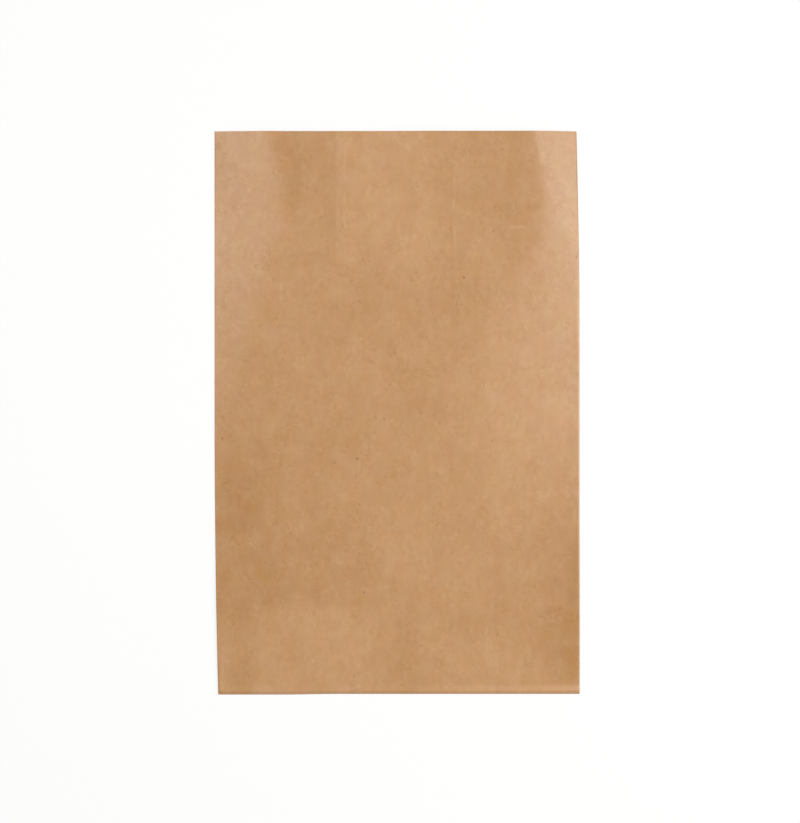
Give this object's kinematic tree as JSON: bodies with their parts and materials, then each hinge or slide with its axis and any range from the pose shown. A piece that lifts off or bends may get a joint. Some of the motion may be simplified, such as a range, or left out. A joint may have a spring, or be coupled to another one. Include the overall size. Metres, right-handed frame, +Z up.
{
  "type": "flat paper bag",
  "caption": "Gusseted block-bottom bag of plain brown kraft paper, folded flat, with a straight-cut open mouth.",
  "frame": {"origin": "under the middle of the folded bag, on the surface that it lies on", "axes": "+X across the front panel, +Y from the bottom fold to the open mouth, +Z up, out of the front panel"},
  "size_m": [0.24, 0.37, 0.0037],
  "materials": {
    "kraft_paper": "machine-glazed brown kraft, softly glossy outside"
  },
  "bodies": {
    "root": {"paper_bag": "kraft_paper"}
  },
  "joints": []
}
